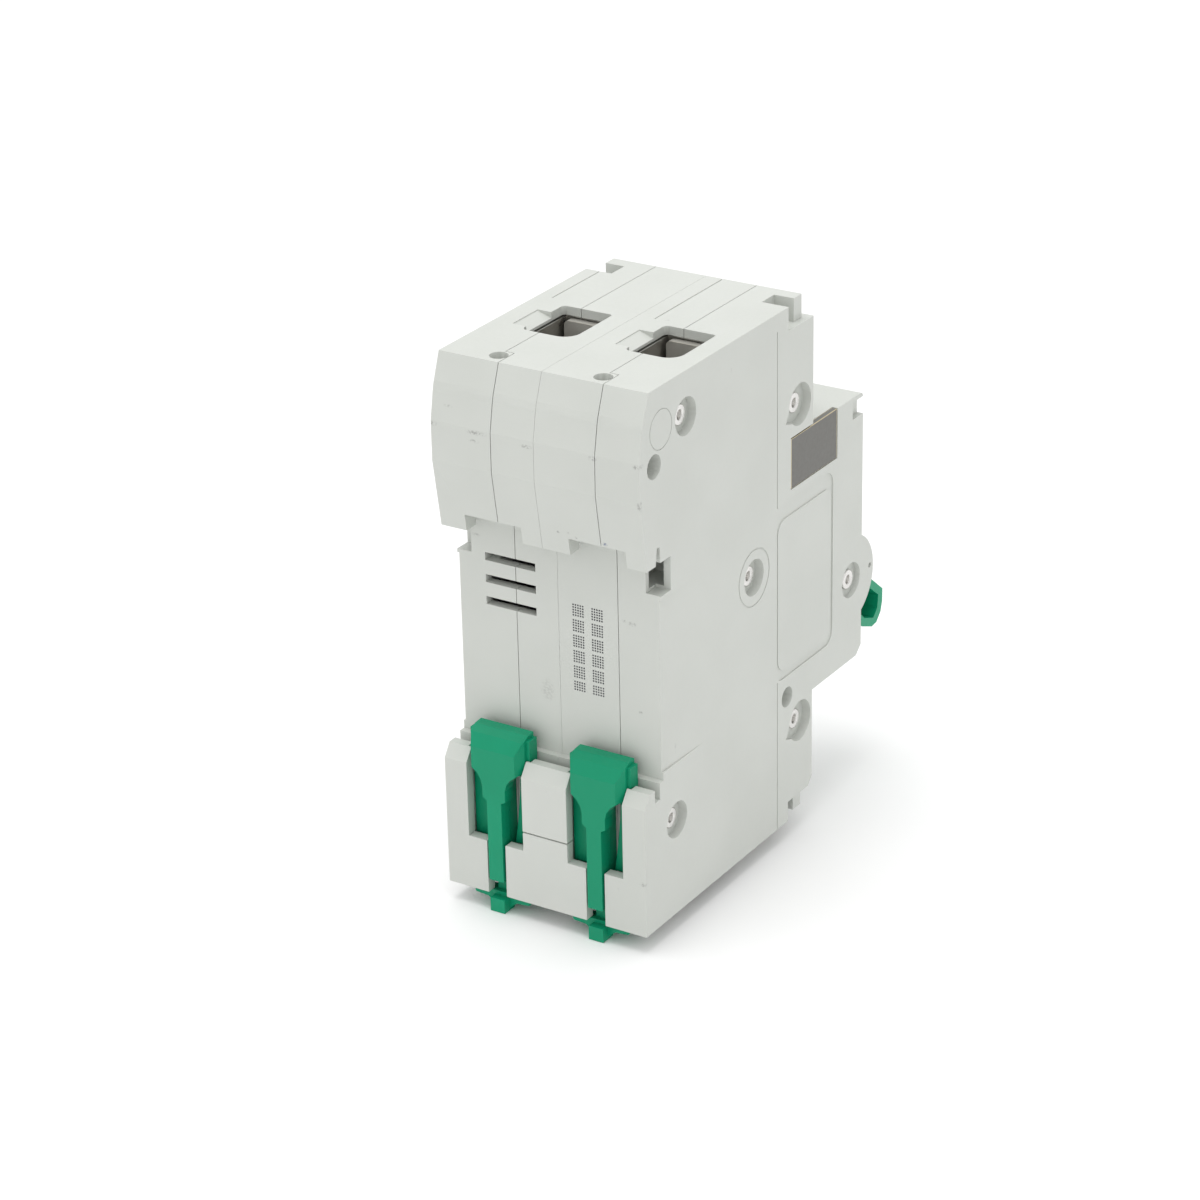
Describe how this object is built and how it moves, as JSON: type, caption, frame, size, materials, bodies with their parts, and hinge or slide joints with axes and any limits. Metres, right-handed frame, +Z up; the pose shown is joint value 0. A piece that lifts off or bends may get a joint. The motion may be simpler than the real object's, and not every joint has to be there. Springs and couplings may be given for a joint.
{
  "type": "gfci breaker",
  "caption": "Two-module residual-current circuit breaker for a top-hat rail, with rocker toggle, test button, sliding rail clips and rising-cage screw terminals.",
  "frame": {"origin": "centre of the 35 mm rail's width, on the rail plane, midway between the two sides", "axes": "+X across the two modules towards the sensor module, +Y back to the wall behind the rail, +Z up"},
  "size_m": [0.0356, 0.0781, 0.0894],
  "materials": {
    "housing_plastic": "fine moulded satin",
    "bridge_plastic": "moulded satin",
    "green_plastic": "moulded semi-gloss",
    "window_plate": "smooth dark plate",
    "label": "blank printed film",
    "rivet_steel": "bright plated",
    "steel": "zinc plated",
    "spring_steel": "drawn wire",
    "copper": "bare copper",
    "tinned_bar": "tinned copper",
    "silver_contact": "silver alloy",
    "bimetal_metal": "rolled strip",
    "fibre": "pressed fibre",
    "white_plastic": "moulded",
    "black_plastic": "moulded",
    "button_plastic": "moulded",
    "wire_insulation": "sheathed",
    "board": "solder mask",
    "ferrite": "sintered core",
    "enamelled_wire": "enamelled copper"
  },
  "bodies": {
    "housing": {"breaker_cover": "housing_plastic", "breaker_case": "housing_plastic", "sensor_cover": "housing_plastic", "sensor_case": "housing_plastic", "module_bridge": "bridge_plastic", "bridge_cap": "bridge_plastic", "rivets": "rivet_steel", "side_window_plate": "window_plate", "rating_plate": "label", "phase_top_bar": "tinned_bar", "phase_contact_bar": "copper", "phase_bottom_bar": "tinned_bar", "neutral_top_bar": "tinned_bar", "neutral_bottom_bar": "tinned_bar", "fixed_pads": "silver_contact", "arc_splitter_plates": "steel", "arc_chute_walls": "fibre", "arc_runner": "steel", "trip_coil": "enamelled_wire", "coil_former": "white_plastic", "coil_yoke": "steel", "plunger_spring": "spring_steel", "trip_pin": "steel", "toroid_core": "ferrite", "toroid_winding": "enamelled_wire", "primary_wires": "wire_insulation", "trip_relay": "white_plastic", "test_button_spring": "spring_steel", "test_blade": "copper", "circuit_board": "board", "test_resistor": "fibre", "capacitor": "black_plastic", "thyristor": "black_plastic"},
    "toggle": {"toggle": "green_plastic", "toggle_spring": "spring_steel"},
    "link": {"toggle_link": "steel"},
    "contacts": {"contact_carrier": "black_plastic", "phase_contact_arm": "copper", "neutral_contact_arm": "copper", "moving_pads": "silver_contact", "contact_shaft": "steel"},
    "plunger": {"trip_plunger": "steel"},
    "bimetal": {"bimetal_strip": "bimetal_metal", "flexible_braid": "copper"},
    "lever": {"trip_lever": "white_plastic"},
    "pusher": {"relay_pusher": "black_plastic"},
    "button": {"test_button": "button_plastic"},
    "clip_phase": {"rail_clip_phase": "green_plastic"},
    "clip_sensor": {"rail_clip_sensor": "green_plastic"},
    "cage_phase_top": {"terminal_cage_phase_top": "steel"},
    "screw_phase_top": {"terminal_screw_phase_top": "steel"},
    "cage_phase_bottom": {"terminal_cage_phase_bottom": "steel"},
    "screw_phase_bottom": {"terminal_screw_phase_bottom": "steel"},
    "cage_sensor_top": {"terminal_cage_sensor_top": "steel"},
    "screw_sensor_top": {"terminal_screw_sensor_top": "steel"},
    "cage_sensor_bottom": {"terminal_cage_sensor_bottom": "steel"},
    "screw_sensor_bottom": {"terminal_screw_sensor_bottom": "steel"}
  },
  "joints": [
    {"name": "toggle_turn", "type": "hinge", "parent": "housing", "child": "toggle", "pos_m": [0, -0.0578, -0.0091], "axis": [-1, 0, 0], "range_deg": [0, 80]},
    {"name": "link_turn", "type": "hinge", "parent": "toggle", "child": "link", "pos_m": [0, -0.05443, -0.00627], "axis": [1, 0, 0], "range_deg": [0, 80]},
    {"name": "contact_turn", "type": "hinge", "parent": "housing", "child": "contacts", "pos_m": [0, -0.035, -0.003], "axis": [1, 0, 0], "range_deg": [0, 35]},
    {"name": "plunger_slide", "type": "slide", "parent": "housing", "child": "plunger", "axis": [0, -1, 0], "range_m": [0, 0.002], "stiffness_N_per_m": 40, "springref_m": -0.001, "deforming": ["plunger_spring"]},
    {"name": "bimetal_bend", "type": "hinge", "parent": "housing", "child": "bimetal", "pos_m": [0, -0.0365, -0.028], "axis": [1, 0, 0], "range_deg": [0, 5.4], "stiffness_Nm_per_rad": 0.004, "springref_deg": -2.86},
    {"name": "lever_turn", "type": "hinge", "parent": "housing", "child": "lever", "pos_m": [0, -0.0392, -0.017], "axis": [1, 0, 0], "range_deg": [0, 4], "stiffness_Nm_per_rad": 0.003, "springref_deg": -5.73},
    {"name": "pusher_slide", "type": "slide", "parent": "housing", "child": "pusher", "axis": [0, -1, 0], "range_m": [0, 0.0011], "stiffness_N_per_m": 20, "springref_m": -0.0005},
    {"name": "test_press", "type": "slide", "parent": "housing", "child": "button", "axis": [0, 1, 0], "range_m": [0, 0.0016], "stiffness_N_per_m": 150, "springref_m": -0.001, "deforming": ["test_button_spring"]},
    {"name": "clip_phase_pull", "type": "slide", "parent": "housing", "child": "clip_phase", "axis": [0, 0, -1], "range_m": [0, 0.004], "stiffness_N_per_m": 150, "springref_m": -0.002},
    {"name": "clip_sensor_pull", "type": "slide", "parent": "housing", "child": "clip_sensor", "axis": [0, 0, -1], "range_m": [0, 0.004], "stiffness_N_per_m": 150, "springref_m": -0.002},
    {"name": "screw_phase_top_turn", "type": "hinge", "parent": "housing", "child": "screw_phase_top", "pos_m": [-0.0101, -0.03, 0.036], "axis": [0, 1, 0], "range_deg": [0, 3640]},
    {"name": "cage_phase_top_slide", "type": "slide", "parent": "housing", "child": "cage_phase_top", "axis": [0, -1, 0], "range_m": [0, 0.008]},
    {"name": "screw_phase_bottom_turn", "type": "hinge", "parent": "housing", "child": "screw_phase_bottom", "pos_m": [-0.0101, -0.03, -0.0356], "axis": [0, 1, 0], "range_deg": [0, 3640]},
    {"name": "cage_phase_bottom_slide", "type": "slide", "parent": "housing", "child": "cage_phase_bottom", "axis": [0, -1, 0], "range_m": [0, 0.008]},
    {"name": "screw_sensor_top_turn", "type": "hinge", "parent": "housing", "child": "screw_sensor_top", "pos_m": [0.0077, -0.03, 0.036], "axis": [0, 1, 0], "range_deg": [0, 3640]},
    {"name": "cage_sensor_top_slide", "type": "slide", "parent": "housing", "child": "cage_sensor_top", "axis": [0, -1, 0], "range_m": [0, 0.008]},
    {"name": "screw_sensor_bottom_turn", "type": "hinge", "parent": "housing", "child": "screw_sensor_bottom", "pos_m": [0.0077, -0.03, -0.0356], "axis": [0, 1, 0], "range_deg": [0, 3640]},
    {"name": "cage_sensor_bottom_slide", "type": "slide", "parent": "housing", "child": "cage_sensor_bottom", "axis": [0, -1, 0], "range_m": [0, 0.008]}
  ],
  "couplings": [
    {"joint": "link_turn", "follows": "toggle_turn", "ratio": 0.9905},
    {"joint": "contact_turn", "follows": "toggle_turn", "ratio": 0.4375},
    {"joint": "screw_phase_top_turn", "follows": "cage_phase_top_slide", "rad_per_m": 7854},
    {"joint": "screw_phase_bottom_turn", "follows": "cage_phase_bottom_slide", "rad_per_m": 7854},
    {"joint": "screw_sensor_top_turn", "follows": "cage_sensor_top_slide", "rad_per_m": 7854},
    {"joint": "screw_sensor_bottom_turn", "follows": "cage_sensor_bottom_slide", "rad_per_m": 7854}
  ]
}
